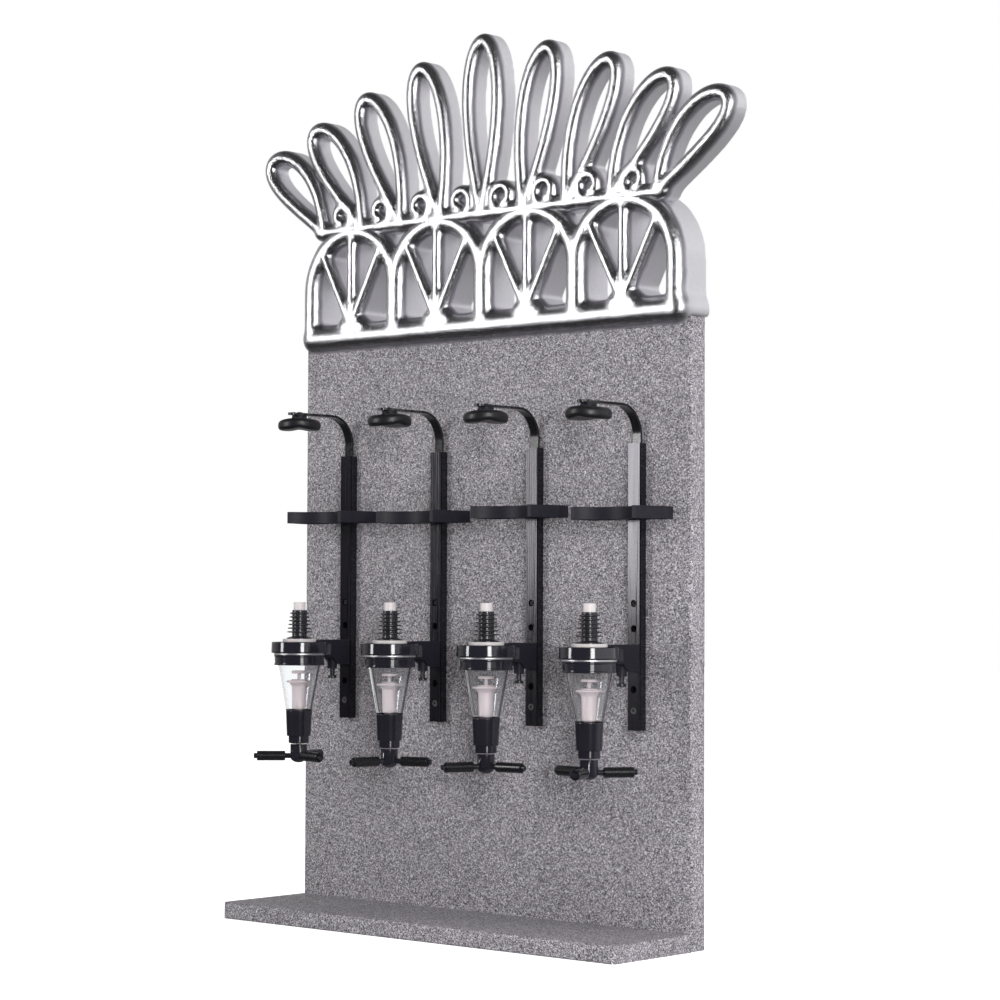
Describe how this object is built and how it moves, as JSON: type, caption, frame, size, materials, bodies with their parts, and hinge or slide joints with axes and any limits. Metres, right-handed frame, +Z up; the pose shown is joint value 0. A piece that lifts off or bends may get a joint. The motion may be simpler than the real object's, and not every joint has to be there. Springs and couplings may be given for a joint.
{
  "type": "cocktail dispenser",
  "caption": "Counter stand with a row of spring-valve spirit measures, bottle cradles and sprung bottle straps under a cast crest.",
  "frame": {"origin": "middle of the footprint of shelf and panel, on the surface it stands on", "axes": "+Z up, -Y out of the front where the measures are, +X to the right seen from the front"},
  "size_m": [0.6324, 0.1495, 0.903],
  "materials": {
    "stone_coat": "board with a fine speckled stone-effect coat",
    "cast_aluminium": "sand cast, polished front, bead blasted sides",
    "black_anodised": "black anodised extrusion, satin",
    "black_strap": "black lacquered steel strip",
    "black_steel": "blackened steel",
    "zinc_steel": "zinc plated",
    "spring_steel": "spring wire",
    "dark_pin": "black plated turned pin",
    "black_nylon": "moulded black nylon, satin",
    "gloss_black": "gloss moulding",
    "bright_trim": "bright plated ring",
    "white_plastic": "natural white food-grade moulding",
    "clear_acrylic": "clear moulded measure chamber",
    "black_rubber": "ribbed stopper rubber",
    "pad_rubber": "soft moulded pad",
    "sleeve_rubber": "soft push-on sleeve"
  },
  "bodies": {
    "stand": {"back_panel": "stone_coat", "base_shelf": "stone_coat", "shelf_screws": "zinc_steel", "crest": "cast_aluminium", "crest_studs": "zinc_steel", "rails": "black_anodised", "rail_screws": "black_steel", "brackets": "black_nylon", "intake_tubes": "white_plastic", "stoppers": "black_rubber", "caps": "gloss_black", "trim_rings": "bright_trim", "collar_rings": "gloss_black", "chambers": "clear_acrylic", "valve_housings": "gloss_black", "saddle_screws": "zinc_steel", "strap_spring_1": "spring_steel", "strap_spring_2": "spring_steel", "strap_spring_3": "spring_steel", "strap_spring_4": "spring_steel", "release_spring_1": "spring_steel", "release_spring_2": "spring_steel", "release_spring_3": "spring_steel", "release_spring_4": "spring_steel", "valve_spring_1": "spring_steel", "valve_spring_2": "spring_steel", "valve_spring_3": "spring_steel", "valve_spring_4": "spring_steel"},
    "strap_arm_1": {"strap_1": "black_strap", "pad_stud_1": "black_steel"},
    "pad_1": {"bottle_pad_1": "pad_rubber"},
    "cradle_1": {"cradle_1": "black_nylon"},
    "release_1": {"release_pin_1": "dark_pin"},
    "valve_1": {"valve_stem_1": "white_plastic"},
    "spider_1": {"spider_1": "gloss_black", "arm_sleeves_1": "sleeve_rubber"},
    "strap_arm_2": {"strap_2": "black_strap", "pad_stud_2": "black_steel"},
    "pad_2": {"bottle_pad_2": "pad_rubber"},
    "cradle_2": {"cradle_2": "black_nylon"},
    "release_2": {"release_pin_2": "dark_pin"},
    "valve_2": {"valve_stem_2": "white_plastic"},
    "spider_2": {"spider_2": "gloss_black", "arm_sleeves_2": "sleeve_rubber"},
    "strap_arm_3": {"strap_3": "black_strap", "pad_stud_3": "black_steel"},
    "pad_3": {"bottle_pad_3": "pad_rubber"},
    "cradle_3": {"cradle_3": "black_nylon"},
    "release_3": {"release_pin_3": "dark_pin"},
    "valve_3": {"valve_stem_3": "white_plastic"},
    "spider_3": {"spider_3": "gloss_black", "arm_sleeves_3": "sleeve_rubber"},
    "strap_arm_4": {"strap_4": "black_strap", "pad_stud_4": "black_steel"},
    "pad_4": {"bottle_pad_4": "pad_rubber"},
    "cradle_4": {"cradle_4": "black_nylon"},
    "release_4": {"release_pin_4": "dark_pin"},
    "valve_4": {"valve_stem_4": "white_plastic"},
    "spider_4": {"spider_4": "gloss_black", "arm_sleeves_4": "sleeve_rubber"}
  },
  "joints": [
    {"name": "strap_lift_1", "type": "slide", "parent": "stand", "child": "strap_arm_1", "axis": [0, 0, 1], "range_m": [0, 0.082], "stiffness_N_per_m": 100, "springref_m": -0.05, "deforming": ["strap_spring_1"]},
    {"name": "pad_swivel_1", "type": "hinge", "parent": "strap_arm_1", "child": "pad_1", "pos_m": [-0.1905, -0.0305, 0.51], "axis": [0, 0, 1], "continuous": true},
    {"name": "cradle_slide_1", "type": "slide", "parent": "stand", "child": "cradle_1", "axis": [0, 0, 1], "range_m": [-0.115, 0.055]},
    {"name": "release_pull_1", "type": "slide", "parent": "stand", "child": "release_1", "axis": [0, 0, -1], "range_m": [0, 0.006], "stiffness_N_per_m": 300, "springref_m": -0.006, "deforming": ["release_spring_1"]},
    {"name": "dispense_1", "type": "slide", "parent": "stand", "child": "valve_1", "axis": [0, 0, 1], "range_m": [0, 0.008], "stiffness_N_per_m": 250, "springref_m": -0.006, "deforming": ["valve_spring_1"]},
    {"name": "spider_spin_1", "type": "hinge", "parent": "valve_1", "child": "spider_1", "pos_m": [-0.1905, -0.0285, 0.17], "axis": [0, 0, 1], "continuous": true},
    {"name": "strap_lift_2", "type": "slide", "parent": "stand", "child": "strap_arm_2", "axis": [0, 0, 1], "range_m": [0, 0.083], "stiffness_N_per_m": 100, "springref_m": -0.05, "deforming": ["strap_spring_2"]},
    {"name": "pad_swivel_2", "type": "hinge", "parent": "strap_arm_2", "child": "pad_2", "pos_m": [-0.061, -0.0305, 0.51], "axis": [0, 0, 1], "continuous": true},
    {"name": "cradle_slide_2", "type": "slide", "parent": "stand", "child": "cradle_2", "axis": [0, 0, 1], "range_m": [-0.115, 0.055]},
    {"name": "release_pull_2", "type": "slide", "parent": "stand", "child": "release_2", "axis": [0, 0, -1], "range_m": [0, 0.006], "stiffness_N_per_m": 300, "springref_m": -0.006, "deforming": ["release_spring_2"]},
    {"name": "dispense_2", "type": "slide", "parent": "stand", "child": "valve_2", "axis": [0, 0, 1], "range_m": [0, 0.008], "stiffness_N_per_m": 250, "springref_m": -0.006, "deforming": ["valve_spring_2"]},
    {"name": "spider_spin_2", "type": "hinge", "parent": "valve_2", "child": "spider_2", "pos_m": [-0.061, -0.0285, 0.17], "axis": [0, 0, 1], "continuous": true},
    {"name": "strap_lift_3", "type": "slide", "parent": "stand", "child": "strap_arm_3", "axis": [0, 0, 1], "range_m": [0, 0.085], "stiffness_N_per_m": 100, "springref_m": -0.05, "deforming": ["strap_spring_3"]},
    {"name": "pad_swivel_3", "type": "hinge", "parent": "strap_arm_3", "child": "pad_3", "pos_m": [0.0685, -0.0305, 0.51], "axis": [0, 0, 1], "continuous": true},
    {"name": "cradle_slide_3", "type": "slide", "parent": "stand", "child": "cradle_3", "axis": [0, 0, 1], "range_m": [-0.115, 0.055]},
    {"name": "release_pull_3", "type": "slide", "parent": "stand", "child": "release_3", "axis": [0, 0, -1], "range_m": [0, 0.006], "stiffness_N_per_m": 300, "springref_m": -0.006, "deforming": ["release_spring_3"]},
    {"name": "dispense_3", "type": "slide", "parent": "stand", "child": "valve_3", "axis": [0, 0, 1], "range_m": [0, 0.008], "stiffness_N_per_m": 250, "springref_m": -0.006, "deforming": ["valve_spring_3"]},
    {"name": "spider_spin_3", "type": "hinge", "parent": "valve_3", "child": "spider_3", "pos_m": [0.0685, -0.0285, 0.17], "axis": [0, 0, 1], "continuous": true},
    {"name": "strap_lift_4", "type": "slide", "parent": "stand", "child": "strap_arm_4", "axis": [0, 0, 1], "range_m": [0, 0.087], "stiffness_N_per_m": 100, "springref_m": -0.05, "deforming": ["strap_spring_4"]},
    {"name": "pad_swivel_4", "type": "hinge", "parent": "strap_arm_4", "child": "pad_4", "pos_m": [0.198, -0.0305, 0.51], "axis": [0, 0, 1], "continuous": true},
    {"name": "cradle_slide_4", "type": "slide", "parent": "stand", "child": "cradle_4", "axis": [0, 0, 1], "range_m": [-0.115, 0.055]},
    {"name": "release_pull_4", "type": "slide", "parent": "stand", "child": "release_4", "axis": [0, 0, -1], "range_m": [0, 0.006], "stiffness_N_per_m": 300, "springref_m": -0.006, "deforming": ["release_spring_4"]},
    {"name": "dispense_4", "type": "slide", "parent": "stand", "child": "valve_4", "axis": [0, 0, 1], "range_m": [0, 0.008], "stiffness_N_per_m": 250, "springref_m": -0.006, "deforming": ["valve_spring_4"]},
    {"name": "spider_spin_4", "type": "hinge", "parent": "valve_4", "child": "spider_4", "pos_m": [0.198, -0.0285, 0.17], "axis": [0, 0, 1], "continuous": true}
  ]
}
